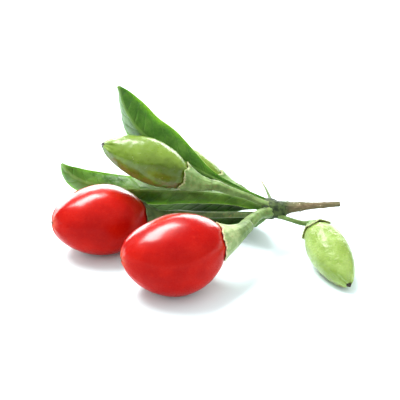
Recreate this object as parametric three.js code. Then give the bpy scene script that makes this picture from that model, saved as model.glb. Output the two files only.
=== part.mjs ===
// A cut sprig of goji (Lycium): two ripe berries and three unripe ones, each in its own calyx on its own
// stalk, with the leaves of one short shoot, a thorn and a stub of twig, as it lies on a table.
// Millimetres, +Z up. The pieces are laid out from the floor point under the crown, the knot of the twig
// where all stalks and leaves meet; the twig leaves it along +X. The finished sprig is then moved so that
// the middle of its footprint is the origin.
import * as THREE from "three";

const V = (x, y, z) => new THREE.Vector3(x, y, z);

// ---- driving dimensions ----
const JOIN_GAP = 0.08; // left between pieces that grow out of each other
const CALYX_WALL = 0.3; // thickness of a calyx cup
const CALYX_LOBE = 0.2; // how far the five lobes stand out of its rim, as a share of the cup's reach
const BLADE = { rib: 0.62, blade: 0.4, margin: 0.2 }; // thickness of a leaf, from its midrib to its edge
const BLADE_DROOP = 0.12; // how far the margin of a leaf falls below its half, as a share of the width

// How finely each kind of piece is divided: [rings along it, points round each ring]. For a calyx the rings
// are those of the funnel behind the cup.
const STEP = {
  fruit: [17, 20],
  calyx: [7, 20],
  stalk: [12, 8],
  leaf: [24, 12],
  twig: [16, 14],
  thorn: [8, 8],
};

const COLOURS = {
  ripe: { color: 0xc81e14, roughness: 0.3 },
  unripe: { color: 0x86a84a, roughness: 0.45 },
  calyx: { color: 0x93b06a, roughness: 0.55 },
  stalk: { color: 0x86a85a, roughness: 0.55 },
  leaf: { color: 0x3f7a26, roughness: 0.4 },
  bark: { color: 0x857548, roughness: 0.8 },
};

// How full a fruit is beside an even oval: [share of the length from the stalk end, share of the oval's
// radius there].
const RIPE_OUTLINE = [[0, 0.97], [0.13, 1], [0.3, 1.015], [0.5, 1], [0.7, 0.955], [0.87, 0.92], [1, 0.89]];
const UNRIPE_OUTLINE = [
  [0, 1.08], [0.13, 1.04], [0.3, 1.026], [0.5, 1], [0.7, 0.917], [0.87, 0.833], [0.967, 0.73], [1, 0.68],
];

// Each fruit: the middles of its stalk end and of its blossom end, its greatest radius and how far its
// middle sags. Then its calyx: how far the cup reaches along the fruit, how fast the funnel behind it
// narrows, and the joint where it hands over to the stalk. Then the stalk: the way it runs to the crown
// and its radius at both ends.
const FRUITS = [
  {
    name: "ripe_front", skin: "ripe", outline: RIPE_OUTLINE, radius: 6.2, sag: 1.05,
    stalkEnd: V(-7.6, -10.1, 7.15), blossomEnd: V(-23.1, -14.6, 6.65),
    cup: 0.75, flare: 2.2, joint: V(-4.3, -6.0, 7.1), jointRadius: 1.1,
    route: [V(-3.2, -4.1, 7.2), V(-2.1, -2.4, 7.1), V(-1.2, -1.4, 6.8)], crownRadius: 0.8,
  },
  {
    name: "ripe_left", skin: "ripe", outline: RIPE_OUTLINE, radius: 5.6, sag: 0,
    stalkEnd: V(-20.0, 1.4, 4.4), blossomEnd: V(-34.5, -3.7, 6.35),
    cup: 0.7, flare: 1.7, joint: V(-16.6, 1.9, 4.5), jointRadius: 0.65,
    route: [V(-12.5, 1.2, 4.9), V(-7.0, 0.2, 5.5), V(-3.6, -0.3, 5.8), V(-1.5, -0.35, 5.8)], crownRadius: 0.5,
  },
  {
    name: "unripe_upper", skin: "unripe", outline: UNRIPE_OUTLINE, radius: 3.5, sag: -0.5,
    stalkEnd: V(-13.2, 1.9, 11.0), blossomEnd: V(-26.6, 3.0, 16.6),
    cup: 1.0, flare: 1.2, joint: V(-9.6, 1.3, 10.3), jointRadius: 0.85,
    route: [V(-7.0, 1.1, 9.5), V(-4.3, 0.75, 8.7), V(-1.25, 0, 7.7)], crownRadius: 0.5,
  },
  {
    name: "unripe_right", skin: "unripe", outline: UNRIPE_OUTLINE, radius: 3.2, sag: -0.1,
    stalkEnd: V(6.4, -1.6, 4.65), blossomEnd: V(11.1, -13.7, 1.35),
    cup: 1.5, flare: 1.3, joint: V(5.3, -1.4, 4.85), jointRadius: 0.42,
    route: [V(4.3, -1.45, 5.05), V(3.0, -1.35, 5.45), V(1.75, -1.15, 5.8)], crownRadius: 0.36,
  },
  {
    name: "unripe_rear", skin: "unripe", outline: UNRIPE_OUTLINE, radius: 2.3, sag: 0,
    stalkEnd: V(-7.8, 7.4, 7.6), blossomEnd: V(-19.0, 12.7, 12.2),
    cup: 0.8, flare: 1.3, joint: V(-5.5, 5.4, 7.5), jointRadius: 0.75,
    route: [V(-4.0, 4.0, 7.3), V(-2.5, 2.7, 7.0), V(-1.0, 1.5, 6.6)], crownRadius: 0.5,
  },
];

// Half outlines of a leaf: [share of the midrib from the crown, share of the greatest width]. The top leaf
// has a long narrow petiole, the left one none at all.
const LONG_PETIOLE = [
  [0, 0.14], [0.14, 0.14], [0.3, 0.26], [0.44, 0.62], [0.58, 0.94],
  [0.7, 1], [0.82, 0.96], [0.91, 0.72], [0.96, 0.44], [1, 0.06],
];
const SHORT_PETIOLE = [
  [0, 0.16], [0.08, 0.2], [0.2, 0.5], [0.35, 0.8], [0.5, 0.95],
  [0.65, 1], [0.8, 0.95], [0.91, 0.72], [0.96, 0.44], [1, 0.06],
];

const BROAD_BASE = [
  [0, 0.2], [0.06, 0.42], [0.14, 0.56], [0.25, 0.68], [0.38, 0.82], [0.5, 0.95],
  [0.65, 1], [0.8, 0.95], [0.91, 0.72], [0.96, 0.44], [1, 0.06],
];

// Each leaf: its outline; its midrib from the crown to the tip; the ways its two halves stand out from the
// midrib, from the base to the tip; the greatest width of each half; and how much its margins wave.
const LEAVES = [
  {
    name: "leaf_top", outline: LONG_PETIOLE, halfWidth: [3.6, 3.4], wave: 0.2,
    midrib: [
      V(-1.0, 1.1, 7.6), V(-5.4, 2.8, 8.8), V(-11.2, 4.8, 10.8), V(-17.0, 6.6, 13.9),
      V(-21.2, 7.6, 16.9), V(-23.4, 8.9, 20.1), V(-24.4, 10.0, 23.4),
    ],
    halves: [
      [V(0.2, -0.2, 1), V(0.5, 0.2, 0.85), V(0.6, 0.4, 0.7), V(0.95, 0.15, 0.25)],
      [V(-0.3, 0.3, -0.9), V(-0.4, 0.3, -0.85), V(-0.4, 0.35, -0.85), V(-0.2, 0.8, -0.55)],
    ],
  },
  {
    name: "leaf_left", outline: BROAD_BASE, halfWidth: [2.4, 2.7], wave: 0.15,
    midrib: [
      V(-1.65, 0.5, 6.7), V(-5.4, 1.9, 7.8), V(-11.4, 3.4, 7.9), V(-17.8, 4.3, 7.6),
      V(-23.0, 5.2, 7.4), V(-27.6, 5.9, 7.6), V(-30.9, 6.6, 8.3), V(-32.8, 7.2, 9.4), V(-33.9, 7.9, 10.6),
    ],
    halves: [
      [V(0, 0.9, 0.4), V(0, 1, 0.2), V(-0.1, 0.8, 0.6), V(-0.1, 0.4, 0.9)],
      [V(0, -0.5, -0.8), V(0, -0.3, -1), V(-0.1, 0, -1), V(-0.5, -0.1, -0.9)],
    ],
  },
  {
    name: "leaf_low", outline: SHORT_PETIOLE, halfWidth: [2.4, 2.4], wave: 0.2,
    midrib: [
      V(-1.35, 0.5, 5.2), V(-4.5, 2.5, 3.8), V(-9.0, 3.9, 2.4),
      V(-15.0, 5.0, 1.8), V(-20.0, 5.8, 1.5), V(-24.5, 6.5, 1.4),
    ],
    halves: [
      [V(0.2, 1, 0), V(0.2, 1, 0), V(0.2, 1, 0), V(0.3, 1, 0)],
      [V(0, -0.9, -0.5), V(0, -0.9, -0.6), V(0, -1, -0.4), V(-0.1, -1, -0.3)],
    ],
  },
  {
    name: "leaf_back", outline: SHORT_PETIOLE, halfWidth: [2.6, 2.6], wave: 0.2,
    midrib: [
      V(-0.6, 1.6, 5.6), V(-3.0, 5.2, 4.4), V(-7.4, 8.8, 2.8),
      V(-12.2, 10.8, 1.6), V(-17.0, 12.2, 0.6), V(-21.6, 13.4, 0.3),
    ],
    halves: [
      [V(0.6, 0.8, -0.2), V(0.5, 0.9, -0.2), V(0.4, 0.9, -0.2), V(0.4, 0.9, 0)],
      [V(-0.5, -0.7, -0.3), V(-0.4, -0.9, -0.3), V(-0.3, -0.9, -0.2), V(-0.3, -0.9, 0)],
    ],
  },
  {
    name: "leaf_drooping", outline: SHORT_PETIOLE, halfWidth: [1.8, 1.8], wave: 0.1,
    midrib: [
      V(-0.2, 0.5, 4.9), V(-0.9, 1.7, 4.0), V(-1.8, 2.9, 2.6),
      V(-3.0, 3.9, 1.2), V(-4.6, 4.5, 0.6), V(-6.0, 4.7, 0.5),
    ],
    halves: [
      [V(0.8, 0.5, 0.5), V(0.7, 0.6, 0.4), V(0.6, 0.7, 0.3), V(0.5, 0.8, 0.2)],
      [V(-0.8, -0.5, 0.1), V(-0.6, -0.7, 0.1), V(-0.5, -0.9, 0), V(-0.4, -0.9, -0.2)],
    ],
  },
];

// The twig: from the crown, which is its thick end, to the cut. The thorn stands behind the crown.
const TWIG = [V(-1.3, 0, 6.4), V(-0.4, 0, 6.5), V(1.6, 0.1, 6.8), V(6.0, 0.6, 6.9), V(10.8, 1.2, 6.9)];
const TWIG_RADIUS = [
  [0, 0.7], [0.06, 1.25], [0.14, 1.4], [0.22, 1.12], [0.35, 0.88], [0.49, 0.72], [0.75, 0.5], [1, 0.42],
];
const THORN = [V(-0.2, 1.4, 7.6), V(-0.8, 3.5, 8.2), V(-1.9, 6.9, 8.8)];
const THORN_RADIUS = 0.26;
const THORN_TIP = 0.05;

// ---- shapes ----

// A smooth reading of a list of [position, value] pairs, in order of position.
function reading(pairs) {
  const curve = new THREE.SplineCurve(pairs.map(([x, y]) => new THREE.Vector2(x, y)));
  const points = curve.getPoints(20 * pairs.length);
  return (x) => {
    const next = points.findIndex((p) => p.x >= x);
    if (next <= 0) return points[next < 0 ? points.length - 1 : 0].y;
    const [a, b] = [points[next - 1], points[next]];
    return a.y + ((b.y - a.y) * (x - a.x)) / Math.max(b.x - a.x, 1e-9);
  };
}

// The girth of a fruit along its length, as a share of its greatest radius.
function girth({ outline }) {
  const fullness = reading(outline);
  return (share) => fullness(share) * Math.sqrt(4 * share * (1 - share));
}

// A closed skin over rings of points, with one more point to close it at each end. Every ring has the
// same number of points and turns clockwise as seen from its start end.
function skin(rings, start, end) {
  const around = rings[0].length;
  const points = [start, ...rings.flat(), end];
  const at = (ring, i) => 1 + ring * around + (i % around);
  const faces = [];
  for (let i = 0; i < around; i++) {
    faces.push(0, at(0, i), at(0, i + 1));
    for (let ring = 0; ring + 1 < rings.length; ring++) {
      faces.push(at(ring, i), at(ring + 1, i), at(ring, i + 1));
      faces.push(at(ring, i + 1), at(ring + 1, i), at(ring + 1, i + 1));
    }
    faces.push(at(rings.length - 1, i + 1), at(rings.length - 1, i), points.length - 1);
  }
  const geometry = new THREE.BufferGeometry().setFromPoints(points).setIndex(faces);
  geometry.computeVertexNormals();
  return geometry;
}

// A ring of points round a centre, square to an axis. Its lowest stretch lies between two points.
function ring(centre, axis, radius, around) {
  const along = axis.clone().normalize();
  const low = V(0, 0, -1).projectOnPlane(along).normalize();
  const aside = low.clone().cross(along);
  return Array.from({ length: around }, (_, i) => {
    const angle = (2 * Math.PI * (i + 0.5)) / around;
    const out = low.clone().multiplyScalar(Math.cos(angle)).addScaledVector(aside, Math.sin(angle));
    return centre.clone().addScaledVector(out, radius);
  });
}

// A round solid along a curve, with its radius given along it.
function rod(curve, radiusAt, [along, around]) {
  const shares = Array.from({ length: along }, (_, i) => i / (along - 1));
  const rings = shares.map((t) => ring(curve.getPointAt(t), curve.getTangentAt(t), radiusAt(t), around));
  return skin(rings, curve.getPointAt(0), curve.getPointAt(1));
}

// Where a fruit's rings stand, as shares of its length: they crowd towards both ends.
function fruitStations() {
  const count = STEP.fruit[0];
  return Array.from({ length: count }, (_, i) => (1 - Math.cos((Math.PI * (i + 1)) / (count + 1))) / 2);
}

// The middle line of a fruit: straight from end to end but for its sag. Share 0 is the stalk end.
function fruitMiddle({ stalkEnd, blossomEnd, sag }, share) {
  const middle = stalkEnd.clone().lerp(blossomEnd, share);
  middle.z -= sag * 4 * share * (1 - share);
  return middle;
}

function fruitBody(fruit) {
  const width = girth(fruit);
  const axis = fruit.blossomEnd.clone().sub(fruit.stalkEnd);
  const rings = fruitStations().map((t) => {
    return ring(fruitMiddle(fruit, t), axis, fruit.radius * width(t), STEP.fruit[1]);
  });
  return skin(rings, fruit.stalkEnd, fruit.blossomEnd);
}

// The middle line of the funnel behind a fruit: straight out of the fruit, then bending to the stalk.
function funnelCurve(fruit) {
  const back = fruit.stalkEnd.clone().sub(fruitMiddle(fruit, 0.01)).normalize();
  const throat = fruit.stalkEnd.clone().addScaledVector(back, 0.4 * fruit.stalkEnd.distanceTo(fruit.joint));
  return new THREE.QuadraticBezierCurve3(fruit.stalkEnd, throat, fruit.joint);
}

// A calyx: a cup that fits the fruit's stalk end, with five low lobes, narrowing behind it to the stalk.
function calyxBody(fruit) {
  const { stalkEnd, blossomEnd, radius, cup, flare, joint, jointRadius } = fruit;
  const [along, around] = STEP.calyx;
  const axis = blossomEnd.clone().sub(stalkEnd);
  const length = axis.length();
  const width = girth(fruit);
  const round = ring(V(0, 0, 0), axis, 1, around);
  const fitted = (reach) => radius * width(reach / length) + 1.5 * JOIN_GAP;
  const lobe = (i) => cup * (1 + CALYX_LOBE * Math.cos((10 * Math.PI * i) / around));
  const cupRing = (reach, wide) => round.map((out, i) => {
    return fruitMiddle(fruit, reach(i) / length).addScaledVector(out, wide(reach(i)));
  });
  const stations = fruitStations().map((t) => t * length).filter((s) => s < 0.75 * cup);
  const wall = (reach) => fitted(reach) + CALYX_WALL;
  const rings = stations.map((s) => cupRing(() => s, fitted));
  rings.push(cupRing(lobe, fitted), cupRing(lobe, wall));
  const rim = wall(cup);
  const funnel = funnelCurve(fruit);
  const depth = cup + funnel.getLength();
  const outside = (back) => THREE.MathUtils.lerp(jointRadius, rim, (1 - back / depth) ** flare);
  for (const s of stations.slice().reverse()) {
    rings.push(cupRing(() => s, (reach) => Math.max(wall(reach), outside(cup - reach))));
  }
  for (let i = 0; i <= along; i++) {
    const t = i / along;
    const towards = axis.clone().normalize().lerp(funnel.getTangentAt(t).negate(), t);
    rings.push(ring(funnel.getPointAt(t), towards, outside(cup + t * (depth - cup)), around));
  }
  const bottom = stalkEnd.clone().addScaledVector(funnel.getTangentAt(0), JOIN_GAP);
  return skin(rings.map((r) => r.slice().reverse()), bottom, joint);
}

// A stalk leaves its calyx the way the funnel ends and runs through its route to the crown.
function stalkBody(fruit) {
  const { joint, route, jointRadius, crownRadius } = fruit;
  const leaving = funnelCurve(fruit).getTangentAt(1);
  const start = joint.clone().addScaledVector(leaving, JOIN_GAP);
  const next = joint.clone().addScaledVector(leaving, 0.25 * joint.distanceTo(route[0]));
  const curve = new THREE.CatmullRomCurve3([start, next, ...route]);
  const thickness = (t) => THREE.MathUtils.lerp(jointRadius, crownRadius, Math.min(1, 1.6 * t));
  return rod(curve, thickness, STEP.stalk);
}

// A leaf: a thin blade of two halves that stand out from the midrib their own ways and droop a little.
function leafBody({ outline, midrib, halves, halfWidth, wave }, [along, around]) {
  const curve = new THREE.CatmullRomCurve3(midrib);
  const ways = halves.map((half) => new THREE.CatmullRomCurve3(half));
  const width = reading(outline);
  const steps = around / 2;
  const rings = [];
  for (let i = 0; i < along; i++) {
    const t = Math.sin((Math.PI / 2) * (i / (along - 1)));
    const centre = curve.getPointAt(t);
    const tangent = curve.getTangentAt(t);
    const out = ways.map((way) => way.getPoint(t).projectOnPlane(tangent).normalize());
    const up = [out[0].clone().cross(tangent), tangent.clone().cross(out[1])];
    const ribUp = up[0].clone().add(up[1]).normalize();
    const point = (across, face) => {
      const half = across > 0 ? 0 : 1;
      const arm = width(t) * halfWidth[half] * Math.abs(across);
      const ripple = wave * width(t) * Math.sin(9 * t + 2 * half);
      const drop = (ripple - BLADE_DROOP * width(t) * halfWidth[half]) * across ** 2;
      const thick = THREE.MathUtils.lerp(BLADE.rib, BLADE.blade, Math.min(1, 3 * Math.abs(across)));
      const lift = (face * (Math.abs(across) === 1 ? BLADE.margin : thick)) / 2;
      const normal = across === 0 ? ribUp : up[half];
      const spot = centre.clone().addScaledVector(out[half], arm).addScaledVector(up[half], drop);
      return spot.addScaledVector(normal, lift);
    };
    const top = Array.from({ length: steps + 1 }, (_, k) => point(1 - (2 * k) / steps, 1));
    const under = Array.from({ length: steps - 1 }, (_, k) => point((2 * (k + 1)) / steps - 1, -1));
    rings.push([...top, ...under]);
  }
  return skin(rings, curve.getPointAt(0), curve.getPointAt(1));
}

// Soft things flatten where they press on the floor.
function restOnFloor(geometry) {
  const position = geometry.getAttribute("position");
  for (let i = 0; i < position.count; i++) position.setZ(i, Math.max(0, position.getZ(i)));
  return geometry;
}

// ---- pieces ----

const sprig = new THREE.Group();

function add(name, look, geometry) {
  const material = new THREE.MeshStandardMaterial({ ...COLOURS[look], metalness: 0 });
  const piece = new THREE.Mesh(restOnFloor(geometry), material);
  piece.name = name;
  sprig.add(piece);
}

for (const fruit of FRUITS) {
  add(`berry_${fruit.name}`, fruit.skin, fruitBody(fruit));
  add(`calyx_${fruit.name}`, "calyx", calyxBody(fruit));
  add(`stalk_${fruit.name}`, "stalk", stalkBody(fruit));
}
for (const leaf of LEAVES) add(leaf.name, "leaf", leafBody(leaf, STEP.leaf));

const thornRadius = (t) => THREE.MathUtils.lerp(THORN_RADIUS, THORN_TIP, t);
add("twig", "bark", rod(new THREE.CatmullRomCurve3(TWIG), reading(TWIG_RADIUS), STEP.twig));
add("thorn", "stalk", rod(new THREE.CatmullRomCurve3(THORN), thornRadius, STEP.thorn));

// The origin: the middle of the footprint, on the floor.
const bounds = new THREE.Box3().setFromObject(sprig);
const middle = bounds.getCenter(V(0, 0, 0));
sprig.position.set(-middle.x, -middle.y, -bounds.min.z);

const part = new THREE.Group();
part.add(sprig);
export default part;
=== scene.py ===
"""Looks for a cut sprig of goji: smooth fruits, ragged calyces, ribbed stalks, veined leaves and bark, each
drawn over the rings of points that its CAD node is skinned over. Lengths are in millimetres until a mesh is
made, and the row frame is used throughout: +X along the sprig to the cut twig, +Y to the back, +Z up."""

import math

import bpy
import numpy as np
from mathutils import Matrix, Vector, noise


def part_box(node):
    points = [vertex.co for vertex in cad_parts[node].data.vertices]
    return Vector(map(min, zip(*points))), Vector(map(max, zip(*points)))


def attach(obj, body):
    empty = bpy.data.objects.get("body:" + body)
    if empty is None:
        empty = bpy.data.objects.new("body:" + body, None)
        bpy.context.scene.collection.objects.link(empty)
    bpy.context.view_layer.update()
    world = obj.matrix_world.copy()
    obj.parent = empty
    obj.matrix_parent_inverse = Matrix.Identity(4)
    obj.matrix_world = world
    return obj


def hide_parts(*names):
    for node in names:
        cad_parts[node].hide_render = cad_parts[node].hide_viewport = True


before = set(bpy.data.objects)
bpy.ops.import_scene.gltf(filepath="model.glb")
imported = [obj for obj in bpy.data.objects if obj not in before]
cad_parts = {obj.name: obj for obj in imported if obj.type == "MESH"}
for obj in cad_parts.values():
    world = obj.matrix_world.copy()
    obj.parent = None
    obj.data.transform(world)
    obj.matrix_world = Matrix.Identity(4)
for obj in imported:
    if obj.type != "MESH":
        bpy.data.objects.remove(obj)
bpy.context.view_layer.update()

MM = 0.001  # metres in a millimetre
WELD = 0.001  # mm: CAD corners nearer than this are one point
ROOT_DEPTH = 0.9  # mm that a stalk, leaf or thorn runs into the knot
ROOT_ROWS = 4  # rows of points on that stretch
KNOT_DEPTH = 1.5  # mm from the twig's thick end to the middle of the knot
FAR = 9.0  # mm: the distance from a rim that is marked where there is none near
FRUITS = ["ripe_front", "ripe_left", "unripe_upper", "unripe_right", "unripe_rear"]
# The way the upper face of each leaf looks.
LEAVES = {
    "leaf_top": (0, -1, 0.2),
    "leaf_left": (0, -0.3, 1),
    "leaf_low": (0, 0, 1),
    "leaf_back": (0, 0, 1),
    "leaf_drooping": (0, 0, 1),
}
# Painted shade: these leaves get a darker blade than the others.
SHADE_PAINTED_LEAVES = ["leaf_low", "leaf_back"]  # darker than the others
# Painted shade: this fruit's calyx and stalk are darker copies of the others'.
SHADED_FRUITS = ["ripe_left"]  # with a darker calyx and stalk

# Camera
LOOK_AT = Vector((-0.2, 7.66, 5.0)) * MM
CAMERA_ELEVATION = 30  # degrees
CAMERA_DISTANCE = 200 * MM
FRAME_WIDTH = 65.2 * MM  # seen across the picture at LOOK_AT
SENSOR = 36  # mm

# Studio, in metres and watts
FLOOR_REACH = 4.0
ROOM_LIGHT = 1.35  # strength of the white room
LIGHTS_AIM = (0, 0, 0.005)
SOFTBOX = {"place": (-0.09, 0.09, 0.28), "size": (0.24, 0.12), "power": 1.8}
SCREEN = {"place": (-0.05, 0.4, 0.1), "size": (0.7, 0.2), "power": 3.5}


# ---- reading the CAD nodes ----


def welded(node):
    """The distinct points of a CAD node in mm and, for each, the points it shares an edge with."""
    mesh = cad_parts[node].data
    places = np.array([v.co for v in mesh.vertices]) / MM
    keys = np.round(places / WELD).astype(np.int64)
    _, first, group = np.unique(keys, axis=0, return_index=True, return_inverse=True)
    group = group.ravel()
    near = [set() for _ in first]
    for polygon in mesh.polygons:
        corners = {int(group[i]) for i in polygon.vertices}
        for corner in corners:
            near[corner] |= corners - {corner}
    return places[first], near


def walk_round(ring, near):
    """The points of a ring in their order round it."""
    walk = [min(ring)]
    while len(walk) < len(ring):
        walk.append(min((near[walk[-1]] & ring) - set(walk)))
    return walk


def rings_of(node, base):
    """The rings of points that a CAD node is skinned over, from its end nearest base to the other one, and
    those two end points. The same place in every ring is the same way round."""
    points, near = welded(node)
    start, finish = sorted(range(len(points)), key=lambda i: -len(near[i]))[:2]
    ring = walk_round(near[start], near)
    rings = [ring]
    used = {start, finish, *ring}
    while True:
        pairs = zip(ring, ring[1:] + ring[:1])
        found = [(near[a] & near[b]) - used for a, b in pairs]
        if any(len(one) != 1 for one in found):
            break
        following = [one.pop() for one in found]
        turned = following[-1:] + following[:-1]
        options = [following, turned]
        ring = min(options, key=lambda r: np.linalg.norm(points[r] - points[ring], axis=1).sum())
        rings.append(ring)
        used |= set(ring)
    if np.linalg.norm(points[start] - base) > np.linalg.norm(points[finish] - base):
        start, finish = finish, start
        rings.reverse()
    return points[start], points[np.array(rings)], points[finish]


# ---- smooth grids ----


def through(rows, samples):
    """Rows of points read at fractional row numbers, on a smooth curve through the given rows."""
    rows = np.asarray(rows, float)
    before = 2 * rows[:1] - rows[1:2]
    after = 2 * rows[-1:] - rows[-2:-1]
    padded = np.concatenate([before, rows, after])
    samples = np.clip(samples, 0, len(rows) - 1)
    index = np.minimum(samples.astype(int), len(rows) - 2)
    shape = (-1,) + (1,) * (rows.ndim - 1)
    u = (samples - index).reshape(shape)
    a, b, c, d = (padded[index + k] for k in range(4))
    bend = 2 * a - 5 * b + 4 * c - d
    twist = 3 * b - a - 3 * c + d
    return b + 0.5 * u * ((c - a) + u * (bend + u * twist))


def finer_round(rings, count):
    """Rings with more points, read on a smooth closed curve through the given ones."""
    around = rings.shape[1]
    wrapped = np.concatenate([rings[:, -2:], rings, rings[:, :3]], axis=1)
    columns = wrapped.transpose(1, 0, 2)
    samples = 2 + np.arange(count) * around / count
    return through(columns, samples).transpose(1, 0, 2)


def speckle(points, size, seed=0.0):
    """Smooth noise from -1 to 1 at each point; size is that of its lumps in mm."""
    shift = Vector((seed * 17.3, seed * 5.1, seed * 9.7))
    flat = points.reshape(-1, 3) / size
    values = [noise.noise(Vector(p) + shift) for p in flat]
    return np.array(values).reshape(points.shape[:-1])


def step_between(value, low, high):
    """0 below low and 1 above high, smoothly in between."""
    share = np.clip((value - low) / (high - low), 0, 1)
    return share * share * (3 - 2 * share)


def hill(distance, width):
    """1 at no distance, falling smoothly to nothing over a few widths."""
    return np.exp(-((distance / width) ** 2))


def angles_round(count):
    return np.arange(count) * 2 * math.pi / count


def radii(grid):
    """The distance of each point of a grid of rings from the middle of its ring."""
    return np.linalg.norm(grid - grid.mean(1, keepdims=True), axis=2)


def grid_faces(rows, around):
    """Faces of a closed skin over rows of points, with the start and the finish point after them."""
    start, finish = rows * around, rows * around + 1
    this = np.arange(around)
    beside = (this + 1) % around
    faces = []
    for row in range(rows - 1):
        low, high = row * around, (row + 1) * around
        faces += zip(this + low, beside + low, beside + high, this + high)
    last = (rows - 1) * around
    faces += zip(beside, this, np.full(around, start))
    faces += zip(this + last, beside + last, np.full(around, finish))
    return [tuple(int(i) for i in face) for face in faces]


def make_piece(name, grid, ends, marks, material, replaced):
    """A closed smooth piece over a grid of points in mm. Marks are named numbers or vectors at each point,
    for the material to read: a grid of them and the values at the two ends."""
    rows, around = grid.shape[:2]
    points = np.concatenate([grid.reshape(-1, 3), np.array(ends)]) * MM
    mesh = bpy.data.meshes.new(name)
    mesh.from_pydata(points.tolist(), [], grid_faces(rows, around))
    mesh.update()
    normals = np.array([p.normal for p in mesh.polygons])
    centres = np.array([p.center for p in mesh.polygons])
    areas = np.array([p.area for p in mesh.polygons])
    if ((normals * (centres - points.mean(0))).sum(1) * areas).sum() < 0:
        mesh.flip_normals()
    for mark, (values, start, finish) in marks.items():
        values = np.asarray(values, float)
        size = values.shape[2] if values.ndim == 3 else 1
        kind = "FLOAT_VECTOR" if size == 3 else "FLOAT"
        flat = np.concatenate([values.reshape(-1, size), np.reshape([start, finish], (2, size))])
        attribute = mesh.attributes.new(mark, kind, "POINT")
        attribute.data.foreach_set("vector" if size == 3 else "value", flat.astype(np.float32).ravel())
    mesh.shade_smooth()
    mesh.materials.append(material)
    piece = bpy.data.objects.new(name, mesh)
    bpy.context.scene.collection.objects.link(piece)
    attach(piece, "root")
    for node in replaced:
        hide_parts(node)
    return piece


def outward(grid):
    """The direction out of a grid of rings at each point."""
    along = np.gradient(grid, axis=0)
    wrapped = np.concatenate([grid[:, -1:], grid, grid[:, :1]], axis=1)
    round_it = (wrapped[:, 2:] - wrapped[:, :-2]) / 2
    normal = np.cross(round_it, along)
    normal /= np.maximum(np.linalg.norm(normal, axis=2, keepdims=True), 1e-9)
    middle = grid.mean(1, keepdims=True)
    inward = ((grid - middle) * normal).sum() < 0
    return -normal if inward else normal


def raised(grid, height):
    """A grid with each point moved outward by its height in mm."""
    return grid + outward(grid) * height[..., None]


def rooted(start, grid):
    """A grid carried on at its start into the knot that it grows from, a little wider there, and its new
    end."""
    into = grid[0].mean(0) - grid[3].mean(0)
    into /= np.linalg.norm(into)
    steps = np.linspace(ROOT_DEPTH, ROOT_DEPTH / ROOT_ROWS, ROOT_ROWS)[:, None, None]
    middle = grid[:1].mean(1, keepdims=True)
    wider = 1 + 0.25 * steps / ROOT_DEPTH
    root = middle + (grid[:1] - middle) * wider + into * steps
    return start + into * ROOT_DEPTH, np.concatenate([root, grid])


# ---- fruits ----

FRUIT_ROWS = 121
FRUIT_AROUND = 128
FURROWS = 5  # shallow, along the whole fruit
CREASES = 14  # fine, at its two ends
FURROWED_LENGTH = 16  # mm: the depth of the furrows is that on a fruit this long
# How strongly the ends are creased, and in mm the pucker at the blossom end, the small bumps, and the height
# and width of the nub.
RIPE_FORM = {"creased": 0.4, "pucker": 0.02, "bumps": 0, "nub": 0.08, "nub_width": 0.3}
UNRIPE_FORM = {"creased": 1, "pucker": 0.1, "bumps": 0.05, "nub": 0.3, "nub_width": 0.36}


def fruit_grid(node, base):
    """A fine grid over a fruit, with rounded ends, and its two end points."""
    start, rings, finish = rings_of(node, base)
    rings = finer_round(rings, FRUIT_AROUND)
    opposite = FRUIT_AROUND // 2
    pole = np.ones((FRUIT_AROUND, 1))
    rows = np.stack(
        [np.roll(rings[0], opposite, 0), pole * start, *rings, pole * finish, np.roll(rings[-1], opposite, 0)]
    )
    samples = np.linspace(1, len(rows) - 2, FRUIT_ROWS + 2)[1:-1]
    return start, through(rows, samples), finish


def fruit_marks(grid, start, finish):
    """How far each point lies along the fruit, from 0 at the stalk to 1, and its distance from the blossom
    end in mm."""
    axis = finish - start
    along = (grid - start) @ axis / (axis @ axis)
    blossom = np.linalg.norm(grid - finish, axis=2)
    return along, blossom


def on_the_floor(grid):
    """Nothing reaches below the floor."""
    grid[..., 2] = np.maximum(grid[..., 2], 0)
    return grid


def make_fruit(fruit, base, material, form):
    node = "berry_" + fruit
    start, grid, finish = fruit_grid(node, base)
    along, blossom = fruit_marks(grid, start, finish)
    angle = angles_round(FRUIT_AROUND)
    size = np.linalg.norm(finish - start)
    near_end = step_between(np.abs(along - 0.5), 0.25, 0.5) * form["creased"]
    furrows = np.cos(FURROWS * angle + 3 * speckle(grid, 9, 1))
    creases = np.cos(CREASES * angle + 4 * speckle(grid, 4, 2))
    height = 0.07 * speckle(grid, 3.4, 3) + 0.02 * speckle(grid, 1.2, 4)
    height += (0.035 + 0.05 * near_end) * furrows * size / FURROWED_LENGTH
    height += 0.03 * near_end * creases - form["pucker"] * hill(blossom, 1.1)
    height += form["bumps"] * speckle(grid, 0.8, 5)
    grid = raised(grid, height * step_between(blossom, 0, 0.5))
    nub = form["nub"] * hill(blossom, form["nub_width"])
    tip_way = (finish - start) / size
    grid = on_the_floor(grid + nub[..., None] * tip_way)
    finish = finish + nub.max() * tip_way
    downward = -outward(grid)[..., 2]
    marks = {
        "blossom": (blossom, size, 0),
        "under": (step_between(downward, 0.0, 0.9), 0, 0),
        "below": (step_between(downward, -0.75, -0.05), 0, 0),
    }
    return make_piece("skin_" + fruit, grid, [start, finish], marks, material, [node])


# ---- calyces ----

CALYX_AROUND = 120
CALYX_OUTSIDE = 60
CALYX_INSIDE = 14
FUNNEL_RINGS = 8  # CAD rings of a calyx behind its cup
JOIN = 0.16  # mm that a calyx is carried on over the join to its stalk
RIBS = 10
TEETH = 0.2  # mm: how ragged the rim is


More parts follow.
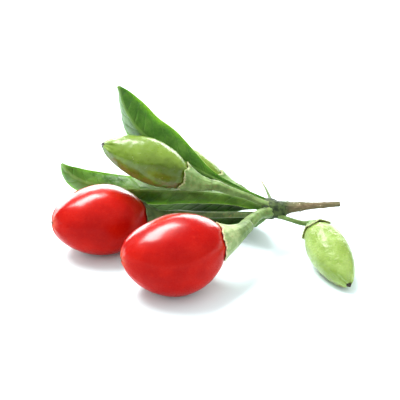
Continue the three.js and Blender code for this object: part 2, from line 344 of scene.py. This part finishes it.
def make_calyx(fruit, base, material):
    node = "calyx_" + fruit
    joint, rings, bottom = rings_of(node, base)
    rings = finer_round(rings, CALYX_AROUND)
    cup_rings = (len(rings) - FUNNEL_RINGS - 2) // 2
    rim = FUNNEL_RINGS + cup_rings
    outside = through(rings[: rim + 1], np.linspace(0, rim, CALYX_OUTSIDE))
    inner = rings[rim + 1 :]
    inside = through(inner, np.linspace(0, len(inner) - 1, CALYX_INSIDE))
    leaving = joint - rings[2].mean(0)
    leaving /= np.linalg.norm(leaving)
    outside[0] += leaving * JOIN

    rise = outside[-1] - outside[-4]
    rise /= np.linalg.norm(rise, axis=1)[:, None]
    ragged = speckle(outside[-1:], 0.55, 6)[0] + 0.6 * speckle(outside[-1:], 0.22, 7)[0]
    teeth = rise * (TEETH * ragged)[:, None]
    share = step_between(np.linspace(0, 1, CALYX_OUTSIDE), 0.6, 1)
    outside += share[:, None, None] * teeth
    inside[:3] += teeth * np.array([1, 0.6, 0.2])[:, None, None]
    angle = angles_round(CALYX_AROUND)
    ribs = np.cos(RIBS * angle) + 0.5 * np.cos(2 * RIBS * angle + 1)
    height = 0.035 * ribs * step_between(share, -0.4, 0.3)[:, None]
    height = height + 0.03 * speckle(outside, 0.9, 8) + 0.012 * speckle(outside, 0.3, 9)
    outside = raised(outside, height)

    grid = np.concatenate([outside, inside])
    edge = np.linalg.norm(grid - outside[-1], axis=2)
    inner_side = np.zeros(grid.shape[:2])
    inner_side[CALYX_OUTSIDE:] = 1
    marks = {"edge": (edge, FAR, FAR), "inner": (inner_side, 0, 1)}
    ends = [joint + leaving * JOIN, bottom]
    grid = on_the_floor(grid)
    return make_piece("husk_" + fruit, grid, ends, marks, material, [node])


# ---- stalks, twig and thorn ----

STALK_ROWS, STALK_AROUND = 110, 32
TWIG_ROWS, TWIG_AROUND = 220, 64
THORN_ROWS, THORN_AROUND = 60, 20
# Bud scars on the twig: mm from the knot, width in mm and strength.
BUD_SCARS = [(4.4, 0.35, 1), (8.1, 0.3, 0.8)]


def rod_grid(node, base, rows, around):
    start, rings, finish = rings_of(node, base)
    rings = finer_round(rings, around)
    return start, through(rings, np.linspace(0, len(rings) - 1, rows)), finish


def make_stalk(fruit, base, material):
    node = "stalk_" + fruit
    start, grid, finish = rod_grid(node, base, STALK_ROWS, STALK_AROUND)
    start, grid = rooted(start, grid)
    angle = angles_round(STALK_AROUND)
    along = np.linspace(0, 1, len(grid))[:, None]
    ribs = 0.05 * np.cos(5 * angle + 2 * along) + 0.03 * np.cos(9 * angle - 3 * along)
    height = radii(grid) * (ribs + 0.04 * speckle(grid, 0.8, 10) + 0.025 * speckle(grid, 0.35, 11))
    grid = on_the_floor(raised(grid, height))
    everywhere = np.ones(grid.shape[:2])
    marks = {"edge": (FAR * everywhere, FAR, FAR), "inner": (0 * everywhere, 0, 0)}
    return make_piece("stem_" + fruit, grid, [start, finish], marks, material, [node])


def root_points(base):
    """Where the stalks, the leaves and the thorn meet the knot."""
    nodes = ["stalk_" + fruit for fruit in FRUITS] + list(LEAVES) + ["thorn"]
    return [rings_of(node, base)[0] for node in nodes]


def make_twig(base, material):
    """The bark: cracked along the twig, scaly on the knot, and swollen round all that grows out of it."""
    start, grid, finish = rod_grid("twig", base, TWIG_ROWS, TWIG_AROUND)
    x = grid[..., 0] - base[0]
    knob = 1 - step_between(x, 1.6, 3.4)
    swelling = sum(hill(np.linalg.norm(grid - root, axis=2), 0.85) for root in root_points(base))
    scars = sum(strength * hill(x - place, width) for place, width, strength in BUD_SCARS)
    cracks = speckle(grid * np.array([0.35, 1, 1]), 0.16, 12)
    scales = np.abs(speckle(grid, 0.9, 13))
    ridges = np.cos(4 * angles_round(TWIG_AROUND) + x)
    height = radii(grid) * (0.05 * cracks + 0.05 * speckle(grid, 0.7, 14) + 0.03 * ridges)
    height += knob * (0.22 * scales - 0.08 + 0.05 * speckle(grid, 0.35, 15))
    height += 0.5 * np.minimum(swelling, 1.2) + 0.07 * scars
    grid = raised(grid, height)
    marks = {"knob": (knob, 1, 0), "cut": (np.zeros(grid.shape[:2]), 0, 1)}
    return make_piece("twig_bark", grid, [start, finish], marks, material, ["twig"])


def make_thorn(base, material):
    start, grid, finish = rod_grid("thorn", base, THORN_ROWS, THORN_AROUND)
    start, grid = rooted(start, grid)
    grid = raised(grid, 0.02 * speckle(grid, 0.4, 16))
    along = np.broadcast_to(np.linspace(0, 1, len(grid))[:, None], grid.shape[:2])
    marks = {"tip": (along, 0, 1)}
    return make_piece("thorn_spike", grid, [start, finish], marks, material, ["thorn"])


# ---- leaves ----

LEAF_ROWS = 170
HALF_COLUMNS = 26  # points across half a leaf, from margin to midrib
# Places in a CAD ring of a leaf, from margin to margin over the upper face and under the lower one.
OVER = [0, 1, 2, 3, 4, 5, 6]
UNDER = [0, 11, 10, 9, 8, 7, 6]
MIDRIB = 3  # place of the midrib in both
VEIN_SPACING = 2.3  # mm along the midrib
VEIN_LEAN = 0.9  # mm a side vein gains towards the tip for each mm it runs outward
VEIN_CURVE = 0.06  # mm it gains besides for each square of those
VEIN_STAGGER = 0.45  # share of a spacing between the veins of the two halves
THINNEST = 0.16  # mm
WIDTH_FLOOR = 0.05  # mm: no leaf counts as narrower than this


def leaf_rings(node, base, upper):
    """The rings of a leaf, each from one margin over the upper face to the other margin and back under."""
    start, rings, finish = rings_of(node, base)
    around = rings.shape[1]
    half = around // 2
    middle = rings[len(rings) // 2]
    widths = [np.linalg.norm(middle[i] - middle[i + half]) for i in range(half)]
    rings = np.roll(rings, -int(np.argmax(widths)), axis=1)
    middle = rings[len(rings) // 2]
    if (middle[half // 2] - middle[-half // 2]) @ np.array(upper) < 0:
        rings = np.roll(rings[:, ::-1], 1, axis=1)
    return start, rings, finish


def leaf_halves(columns):
    """Seven columns of points, margin to margin, read finely on each side of the midrib."""
    samples = np.linspace(0, MIDRIB, HALF_COLUMNS)
    first = through(columns[: MIDRIB + 1], samples)
    second = through(columns[MIDRIB:], samples)
    return np.concatenate([first, second[1:]])


def leaf_faces(node, base, upper):
    """Fine grids over the upper and the lower face of a leaf, margin to margin, and its two end points."""
    start, rings, finish = leaf_rings(node, base, upper)
    samples = np.linspace(0, len(rings) - 1, LEAF_ROWS)
    start, rings = rooted(start, through(rings, samples))
    columns = rings.transpose(1, 0, 2)
    top = leaf_halves(columns[OVER]).transpose(1, 0, 2)
    under = leaf_halves(columns[UNDER]).transpose(1, 0, 2)
    return start, top, under, finish


def leaf_measures(blade):
    """For each point of a blade: mm along the midrib, mm from the midrib, and which half it is in, 0 or 1."""
    rib = blade[:, HALF_COLUMNS - 1]
    steps = np.linalg.norm(np.diff(rib, axis=0), axis=1)
    length = np.concatenate([[0], np.cumsum(steps)])[:, None]
    across = np.linalg.norm(blade - rib[:, None], axis=2)
    half = np.zeros(blade.shape[1])
    half[HALF_COLUMNS:] = 1
    return length, across, half


def upward(blade, top, under):
    """The direction out of the upper face at each point of a blade."""
    up = np.cross(np.gradient(blade, axis=1), np.gradient(blade, axis=0))
    up /= np.maximum(np.linalg.norm(up, axis=2, keepdims=True), 1e-9)
    return -up if (up * (top - under)).sum() < 0 else up


def side_veins(length, across, half):
    """1 on a side vein and 0 away from it."""
    run = length - VEIN_LEAN * across - VEIN_CURVE * across**2
    phase = run / VEIN_SPACING + VEIN_STAGGER * half
    away = np.abs(phase - np.floor(phase) - 0.5) * VEIN_SPACING
    return hill(away, 0.22)


def make_leaf(node, base, upper, material):
    """A blade with a wavy margin, pillows between its sunk side veins, a groove over the midrib and a ridge
    under it."""
    start, top, under, finish = leaf_faces(node, base, upper)
    blade = (top + under) / 2
    thickness = np.linalg.norm(top - under, axis=2)
    up = upward(blade, top, under)
    length, across, half = leaf_measures(blade)
    width = np.maximum(across.max(1, keepdims=True), WIDTH_FLOOR)
    share = across / width
    open_blade = step_between(width, 0.7, 1.6)

    veins = side_veins(length, across, half) * (1 - step_between(share, 0.75, 0.98)) * open_blade
    groove = hill(across, 0.3) * open_blade
    margin_wave = 0.22 * share**3 * speckle(blade, 3.1, 17) + 0.06 * share**4 * speckle(blade, 0.9, 18)
    pillow = 0.05 * (1 - veins) * (1 - share**2) * step_between(across, 0.2, 1)
    wave = (margin_wave + pillow) * open_blade + 0.03 * speckle(blade, 1.3, 19)
    blade = blade + up * wave[..., None]
    edge = np.sqrt(np.clip(1 - share**6, 0, 1))
    body = np.maximum(0.8 * thickness, THINNEST) * (0.3 + 0.7 * edge) / 2
    top = blade + up * (body - 0.05 * veins - 0.13 * groove)[..., None]
    under = blade - up * (body + 0.06 * veins + 0.14 * groove)[..., None]

    grid = on_the_floor(np.concatenate([top, under[:, -2:0:-1]], axis=1))
    columns = top.shape[1]
    seen = np.concatenate([np.arange(columns), np.arange(columns - 2, 0, -1)])
    place = np.stack(np.broadcast_arrays(length, across, half), axis=2)
    upper_side = np.zeros(grid.shape[:2])
    upper_side[:, :columns] = 1
    tip = [float(length[-1, 0]), 0, 0]
    marks = {
        "place": (place[:, seen], [0, 0, 0], tip),
        "margin": (share[:, seen], 0, 0),
        "upper": (upper_side, 0.5, 0.5),
        "blade": (np.broadcast_to(open_blade, across.shape)[:, seen], 0, 1),
    }
    return make_piece("blade_" + node, grid, [start, finish], marks, material, [node])


# ---- materials ----


class Look:
    """One material's nodes. Inputs are numbers, colours or the outputs of other nodes."""

    def __init__(self, name):
        self.material = bpy.data.materials.new(name)
        self.material.use_nodes = True
        self.tree = self.material.node_tree
        self.surface = self.tree.nodes["Principled BSDF"]
        place = self.tree.nodes.new("ShaderNodeTexCoord").outputs["Object"]
        self.place = self.add("ShaderNodeVectorMath", [place, (1 / MM,) * 3], operation="MULTIPLY")

    def add(self, kind, inputs, output=0, **settings):
        """A new node's output. Inputs are in order, or by name; settings are the node's properties."""
        made = self.tree.nodes.new(kind)
        for name, value in settings.items():
            setattr(made, name, value)
        pairs = inputs.items() if isinstance(inputs, dict) else enumerate(inputs)
        for name, value in pairs:
            self.feed(made.inputs[name], value)
        return made.outputs[output]

    def feed(self, socket, value):
        if isinstance(value, bpy.types.NodeSocket):
            self.tree.links.new(value, socket)
        else:
            socket.default_value = value

    def set(self, **values):
        """Feed the surface's inputs, named with _ for each space."""
        for name, value in values.items():
            self.feed(self.surface.inputs[name.replace("_", " ")], value)

    def mark(self, name, output="Fac"):
        """A mark that make_piece put on the points."""
        return self.add("ShaderNodeAttribute", {}, output, attribute_name=name)

    def noise(self, size, detail=3, stretch=(1, 1, 1)):
        """Noise from 0 to 1 with lumps of a size in mm, longer by stretch along each axis."""
        scaled = tuple(1 / (size * s) for s in stretch)
        vector = self.add("ShaderNodeVectorMath", [self.place, scaled], operation="MULTIPLY")
        return self.add("ShaderNodeTexNoise", {"Vector": vector, "Scale": 1.0, "Detail": detail})

    def cells(self, size):
        """Distance from the middle of the nearest cell, for cells of a size in mm."""
        return self.add("ShaderNodeTexVoronoi", {"Vector": self.place, "Scale": 1 / size})

    def math(self, operation, a, b=0.0):
        return self.add("ShaderNodeMath", [a, b], operation=operation)

    def times(self, a, b):
        return self.math("MULTIPLY", a, b)

    def plus(self, a, b):
        return self.math("ADD", a, b)

    def ramp(self, value, low, high, start=0.0, end=1.0):
        """Start where value is low, end where it is high, and smooth in between."""
        inputs = {"Value": value, "From Min": low, "From Max": high, "To Min": start, "To Max": end}
        return self.add("ShaderNodeMapRange", inputs, interpolation_type="SMOOTHSTEP")

    def mix(self, share, a, b):
        """Colour a where share is 0 and b where it is 1."""
        inputs = {0: share, 6: a, 7: b}
        return self.add("ShaderNodeMix", inputs, 2, data_type="RGBA")

    def bump(self, height, depth):
        """Bump from a height from 0 to 1; depth is in mm."""
        inputs = {"Height": height, "Distance": depth * MM, "Strength": 1.0}
        return self.add("ShaderNodeBump", inputs)


def colour(r, g, b):
    return (r, g, b, 1.0)


def blossom_scar(look, inner, outer):
    """1 on the scar at the blossom end, with an uneven edge between two distances in mm."""
    wobble = look.ramp(look.noise(0.25, 3), 0, 1, -0.16, 0.16)
    return look.ramp(look.plus(look.mark("blossom"), wobble), inner, outer, 1, 0)


def ripe_look(name, deep, bright):
    """Thin shiny skin over clear red flesh, a little lighter in clouds, with a dry brown blossom scar. Only
    its upper side has a coat: it fades out on the downward-facing side, painting out the floor's reflection."""
    look = Look(name)
    clouds = look.noise(4.5, 3)
    flesh = look.mix(look.ramp(clouds, 0.35, 0.65), deep, bright)
    fibres = look.noise(0.5, 4)
    flesh = look.mix(look.ramp(fibres, 0.5, 0.8, 0, 0.12), flesh, colour(0.8, 0.05, 0.015))
    paler = look.ramp(look.mark("blossom"), 0.4, 2.2, 0.25, 0)
    flesh = look.mix(paler, flesh, colour(0.75, 0.16, 0.05))
    flesh = look.mix(blossom_scar(look, 0.28, 0.55), flesh, colour(0.11, 0.045, 0.02))
    pores = look.noise(0.16, 2)
    skin = look.plus(look.times(pores, 0.35), look.noise(1.3, 2))
    look.set(
        Base_Color=flesh,
        Roughness=look.ramp(pores, 0.2, 0.8, 0.24, 0.36),
        Normal=look.bump(skin, 0.035),
        Subsurface_Weight=0.35,
        Subsurface_Radius=(1.0, 0.16, 0.08),
        Subsurface_Scale=1.6 * MM,
        # Painted-out reflection: no coat on the downward-facing side, so it doesn't reflect the floor.
        Coat_Weight=look.ramp(look.mark("below"), 0, 1, 1, 0.01),
        Coat_Roughness=0.22,
        Specular_IOR_Level=0.06,
    )
    return look.material


def unripe_look(name, deep, bright, relief):
    """Firm green skin finely pitted to a relief in mm, with painted light on top and a brown blush
    underneath.
    """
    look = Look(name)
    clouds = look.noise(2.6, 4)
    flesh = look.mix(look.ramp(clouds, 0.35, 0.68), deep, bright)
    # Painted light: the skin is paler on its upper side, fading out towards the downward-facing side.
    painted_light_on_top = look.ramp(look.mark("below"), 0, 0.8, 0.45, 0)
    flesh = look.mix(painted_light_on_top, flesh, colour(0.22, 0.33, 0.06))
    flecks = look.ramp(look.cells(0.42), 0.05, 0.16, 1, 0)
    some = look.ramp(look.noise(1.4, 2), 0.45, 0.62, 0, 0.55)
    flesh = look.mix(look.times(flecks, some), flesh, colour(0.72, 0.8, 0.5))
    blush = look.times(look.mark("under"), look.ramp(look.noise(1.1, 4), 0.42, 0.62))
    flesh = look.mix(look.times(blush, 0.7), flesh, colour(0.2, 0.08, 0.03))
    flesh = look.mix(blossom_scar(look, 0.42, 0.62), flesh, colour(0.025, 0.012, 0.008))
    pits = look.noise(0.3, 3)
    skin = look.plus(look.times(pits, 0.6), look.noise(0.9, 2))
    look.set(
        Base_Color=flesh,
        Roughness=look.ramp(pits, 0.25, 0.75, 0.25, 0.45),
        Normal=look.bump(skin, relief),
        Subsurface_Weight=0.3,
        Subsurface_Radius=(0.6, 1.0, 0.25),
        Subsurface_Scale=0.9 * MM,
        Coat_Weight=0.3,
        Coat_Roughness=0.2,
        Specular_IOR_Level=0.35,
    )
    return look.material


def stem_look(name, cup, stalk, rim, dryness):
    """Soft green stem tissue with brown flecks. A calyx made of it has the two colours of the cup, dries at
    its rim, browner with dryness, and takes the two colours of the stalk away from the rim."""
    look = Look(name)
    clouds = look.noise(1.2, 4)
    tissue = look.mix(look.ramp(clouds, 0.35, 0.65), *cup)
    lower = look.mix(look.ramp(clouds, 0.35, 0.65), *stalk)
    tissue = look.mix(look.ramp(look.mark("edge"), 1.2, 5), tissue, lower)
    flecks = look.ramp(look.noise(0.28, 3), 0.6, 0.68)
    tissue = look.mix(look.times(flecks, 0.6), tissue, colour(0.24, 0.15, 0.05))
    frayed = look.plus(look.mark("edge"), look.ramp(look.noise(0.35, 3), 0.2, 0.8, -0.3, 0.3))
    dry = look.ramp(frayed, 0.1, 0.38, 0.85, 0)
    tissue = look.mix(dry, tissue, rim)
    patches = look.ramp(look.noise(0.6, 2), 0.45, 0.6)
    brown = look.times(look.ramp(frayed, -0.2, 0.08, dryness, 0), patches)
    tissue = look.mix(brown, tissue, colour(0.16, 0.06, 0.025))
    tissue = look.mix(look.times(look.mark("inner"), 0.6), tissue, colour(0.3, 0.2, 0.08))
    fuzz = look.noise(0.14, 3)
    height = look.plus(look.times(fuzz, 0.5), look.noise(0.5, 3))
    look.set(
        Base_Color=tissue,
        Roughness=look.ramp(fuzz, 0.2, 0.8, 0.45, 0.7),
        Normal=look.bump(height, 0.07),
        Subsurface_Weight=0.2,
        Subsurface_Radius=(0.5, 0.8, 0.2),
        Subsurface_Scale=0.5 * MM,
        Sheen_Weight=0.15,
        Sheen_Roughness=0.4,
    )
    return look.material


def vein_lines(look, length, across, half):
    """1 on the side veins that make_leaf shapes, and 0 away from them and near the margin."""
    lean = look.times(across, VEIN_LEAN)
    curve = look.times(look.times(across, across), VEIN_CURVE)
    run = look.math("SUBTRACT", look.math("SUBTRACT", length, lean), curve)
    phase = look.plus(look.math("DIVIDE", run, VEIN_SPACING), look.times(half, VEIN_STAGGER))
    phase = look.plus(phase, look.ramp(look.noise(1.8, 2), 0, 1, -0.12, 0.12))
    away = look.math("ABSOLUTE", look.math("SUBTRACT", look.math("FRACT", phase), 0.5))
    outer = look.ramp(look.mark("margin"), 0.7, 0.98, 1, 0)
    return look.times(look.ramp(away, 0.015, 0.075, 1, 0), outer)


def leaf_look(name, deep, bright, rib_colour, wax):
    """Green blade with a fine net of veins, side veins, a pale midrib and a paler underside. Wax, from 0
    to 1, makes it shine."""
    look = Look(name)
    place = look.mark("place", "Vector")
    parts = look.tree.nodes.new("ShaderNodeSeparateXYZ")
    look.feed(parts.inputs[0], place)
    length, across, half = parts.outputs
    upper = look.mark("upper")
    open_blade = look.mark("blade")

    veins = look.times(vein_lines(look, length, across, half), open_blade)
    net = look.add("ShaderNodeTexVoronoi", {"Vector": look.place, "Scale": 1.6}, feature="DISTANCE_TO_EDGE")
    net = look.times(look.ramp(net, 0.0, 0.09, 1, 0), open_blade)
    rib = look.ramp(across, 0.12, 0.3, 1, 0)

    blade = look.mix(look.ramp(look.noise(3.5, 4), 0.35, 0.65), deep, bright)
    blade = look.mix(look.times(look.ramp(look.noise(0.4, 3), 0.55, 0.8), 0.3), blade, bright)
    pale = look.mix(0.3, blade, colour(0.12, 0.2, 0.07))
    blade = look.mix(upper, pale, blade)
    blade = look.mix(look.times(net, 0.08), blade, rib_colour)
    blade = look.mix(look.times(veins, 0.1), blade, rib_colour)
    blade = look.mix(look.times(rib, 0.5), blade, rib_colour)
    rim = look.ramp(look.mark("margin"), 0.965, 0.995, 0, 0.6)
    blade = look.mix(look.times(rim, open_blade), blade, colour(0.42, 0.5, 0.2))
    lines = look.plus(look.times(veins, 0.7), look.times(net, 0.25))
    sunk = look.times(lines, look.ramp(upper, 0.4, 0.6, 1, -1))
    fine = look.plus(look.times(look.noise(0.12, 2), 0.4), look.noise(0.7, 3))
    height = look.plus(look.times(fine, 0.5), sunk)
    look.set(
        Base_Color=blade,
        Roughness=look.ramp(upper, 0, 1, 0.65, 0.65 - 0.27 * wax),
        Normal=look.bump(height, 0.06),
        Subsurface_Weight=0.6,
        Subsurface_Radius=(0.7, 1.0, 0.35),
        Subsurface_Scale=0.9 * MM,
        Specular_IOR_Level=0.08 + 0.4 * wax,
        Coat_Weight=0.12 * wax,
        Coat_Roughness=0.3,
    )
    return look.material


def bark_look(name):
    """Thin grey-brown bark over green, cracked along the twig, with pale pores and a pale wooden cut."""
    look = Look(name)
    patches = look.noise(1.5, 4, (2.5, 1, 1))
    bark = look.mix(look.ramp(patches, 0.36, 0.62), colour(0.1, 0.1, 0.035), colour(0.14, 0.1, 0.045))
    streaks = look.noise(0.2, 4, (6, 1, 1))
    bark = look.mix(look.ramp(streaks, 0.5, 0.7, 0, 0.6), bark, colour(0.24, 0.19, 0.11))
    bark = look.mix(look.ramp(streaks, 0.3, 0.42, 0.7, 0), bark, colour(0.06, 0.035, 0.02))
    pores = look.ramp(look.cells(0.9), 0.1, 0.18, 1, 0)
    bark = look.mix(look.times(pores, 0.7), bark, colour(0.5, 0.42, 0.28))
    # The knot: partly its own green, partly painted shade that darkens it among the stalks.
    clouds = look.ramp(look.noise(0.7, 3), 0.4, 0.6)
    green = look.mix(clouds, colour(0.015, 0.035, 0.004), colour(0.05, 0.085, 0.015))
    bark = look.mix(look.mark("knob"), bark, green)
    bark = look.mix(look.mark("cut"), bark, colour(0.55, 0.47, 0.3))
    height = look.plus(streaks, look.times(pores, 0.4))
    roughness = look.ramp(streaks, 0.3, 0.7, 0.6, 0.85)
    look.set(Base_Color=bark, Roughness=roughness, Normal=look.bump(height, 0.09))
    return look.material


def thorn_look(name):
    """Green at its base and woody towards its tip."""
    look = Look(name)
    woody = look.ramp(look.mark("tip"), 0.35, 0.95)
    green = look.mix(look.noise(0.5, 3), colour(0.06, 0.12, 0.02), colour(0.14, 0.22, 0.06))
    thorn = look.mix(woody, green, colour(0.34, 0.27, 0.15))
    height = look.noise(0.15, 3, (1, 3, 1))
    roughness = look.ramp(height, 0.3, 0.7, 0.45, 0.65)
    look.set(Base_Color=thorn, Roughness=roughness, Normal=look.bump(height, 0.03))
    return look.material


# ---- studio ----


def floor_look():
    look = Look("pale_floor")
    look.set(Base_Color=colour(0.74, 0.87, 0.89), Roughness=0.65, Specular_IOR_Level=0.25)
    return look.material


def make_floor():
    mesh = bpy.data.meshes.new("floor")
    signs = [(-1, -1), (1, -1), (1, 1), (-1, 1)]
    corners = [(FLOOR_REACH * x, FLOOR_REACH * y, 0) for x, y in signs]
    mesh.from_pydata(corners, [], [(0, 1, 2, 3)])
    mesh.materials.append(floor_look())
    floor = bpy.data.objects.new("floor", mesh)
    bpy.context.scene.collection.objects.link(floor)


def add_light(name, place, size, power):
    lamp = bpy.data.lights.new(name, "AREA")
    lamp.shape = "RECTANGLE"
    lamp.size, lamp.size_y = size
    lamp.energy = power
    holder = bpy.data.objects.new(name, lamp)
    holder.location = Vector(place)
    aim = Vector(LIGHTS_AIM) - Vector(place)
    holder.rotation_euler = aim.to_track_quat("-Z", "Y").to_euler()
    bpy.context.scene.collection.objects.link(holder)
    return holder


def make_studio():
    """A plain white room, kept out of reflections so that its glare doesn't wash out the colours, a softbox
    above, and a white screen behind that shows only in reflections, along the upper edges."""
    world = bpy.data.worlds.new("white_room")
    world.use_nodes = True
    room = world.node_tree.nodes["Background"]
    room.inputs["Color"].default_value = colour(1, 1, 1)
    room.inputs["Strength"].default_value = ROOM_LIGHT
    bpy.context.scene.world = world
    world.cycles_visibility.glossy = False
    add_light("softbox_above", **SOFTBOX)
    screen = add_light("screen_behind", **SCREEN)
    screen.visible_diffuse = False
    bpy.context.scene.view_settings.view_transform = "Standard"


def make_camera():
    tilt = math.radians(CAMERA_ELEVATION)
    back = Vector((0, -math.cos(tilt), math.sin(tilt)))
    lens = bpy.data.cameras.new("camera")
    lens.sensor_width = SENSOR
    lens.lens = SENSOR * CAMERA_DISTANCE / FRAME_WIDTH
    lens.clip_start = 0.01
    camera = bpy.data.objects.new("camera", lens)
    camera.location = LOOK_AT + back * CAMERA_DISTANCE
    camera.rotation_euler = (-back).to_track_quat("-Z", "Y").to_euler()
    bpy.context.scene.collection.objects.link(camera)
    bpy.context.scene.camera = camera


# ---- the sprig ----


def crown_point():
    """The knot of the twig, from which everything springs: just inside the twig's thick end, in mm."""
    low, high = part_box("twig")
    return np.array([low.x / MM + KNOT_DEPTH, (low.y + high.y) / 2 / MM, (low.z + high.z) / 2 / MM])


def skin_looks():
    """The skin of each fruit."""
    ripe = ripe_look("ripe_skin", colour(0.32, 0.0015, 0.0006), colour(0.4, 0.005, 0.0015))
    green = unripe_look("unripe_skin", colour(0.07, 0.125, 0.003), colour(0.12, 0.2, 0.012), 0.05)
    # Partly the right berry's own paler green, partly painted light: a brighter copy of the unripe skin.
    pale = unripe_look("pale_unripe_skin", colour(0.17, 0.26, 0.035), colour(0.32, 0.44, 0.13), 0.17)
    ripe_ones = {"ripe_front": ripe, "ripe_left": ripe}
    return ripe_ones | {"unripe_upper": green, "unripe_right": pale, "unripe_rear": green}


def stem_looks():
    """The tissue of a calyx and of a stalk, for ripe, unripe and shaded fruits; a shaded fruit's is darker
    with painted shade.
    """
    ripe_cup = [colour(0.21, 0.3, 0.1), colour(0.36, 0.44, 0.2)]
    young_cup = [colour(0.1, 0.2, 0.035), colour(0.19, 0.31, 0.09)]
    stalk = [colour(0.08, 0.15, 0.025), colour(0.15, 0.25, 0.06)]
    # Painted shade: darker copies of the stalk's greens, for a fruit in shade.
    shaded_stalk = [colour(0.045, 0.09, 0.014), colour(0.09, 0.15, 0.03)]
    dry_tan = colour(0.68, 0.56, 0.32)
    dry_olive = colour(0.42, 0.46, 0.22)
    husk = stem_look("ripe_calyx", ripe_cup, stalk, dry_tan, 0.9)
    young_husk = stem_look("young_calyx", young_cup, stalk, dry_olive, 0.3)
    stem = stem_look("stem_tissue", stalk, stalk, dry_tan, 0)
    dark_stem = stem_look("dark_stem_tissue", shaded_stalk, shaded_stalk, shaded_stalk[1], 0.9)
    return {"ripe": (husk, stem), "unripe": (young_husk, stem), "shaded": (dark_stem, dark_stem)}


def blade_looks():
    """The blades of a fresh leaf and of a leaf darkened with painted shade."""
    fresh_green = [colour(0.035, 0.11, 0.005), colour(0.1, 0.22, 0.02), colour(0.2, 0.34, 0.08)]
    # Painted shade: the darker greens of a leaf that lies in shade.
    shade_painted_green = [colour(0.01, 0.03, 0.002), colour(0.02, 0.055, 0.005), colour(0.04, 0.08, 0.015)]
    return leaf_look("leaf_blade", *fresh_green, 1), leaf_look("shade_painted_leaf_blade", *shade_painted_green, 0)


def make_sprig():
    crown = crown_point()
    skins = skin_looks()
    tissues = stem_looks()
    fresh, shade_painted = blade_looks()
    for fruit in FRUITS:
        stage = fruit.split("_")[0]
        form = RIPE_FORM if stage == "ripe" else UNRIPE_FORM
        make_fruit(fruit, crown, skins[fruit], form)
        cup, stem = tissues["shaded" if fruit in SHADED_FRUITS else stage]
        make_calyx(fruit, crown, cup)
        make_stalk(fruit, crown, stem)
    for node, upper in LEAVES.items():
        make_leaf(node, crown, upper, shade_painted if node in SHADE_PAINTED_LEAVES else fresh)
    make_twig(crown, bark_look("bark"))
    make_thorn(crown, thorn_look("thorn"))


make_sprig()
make_floor()
make_studio()
make_camera()
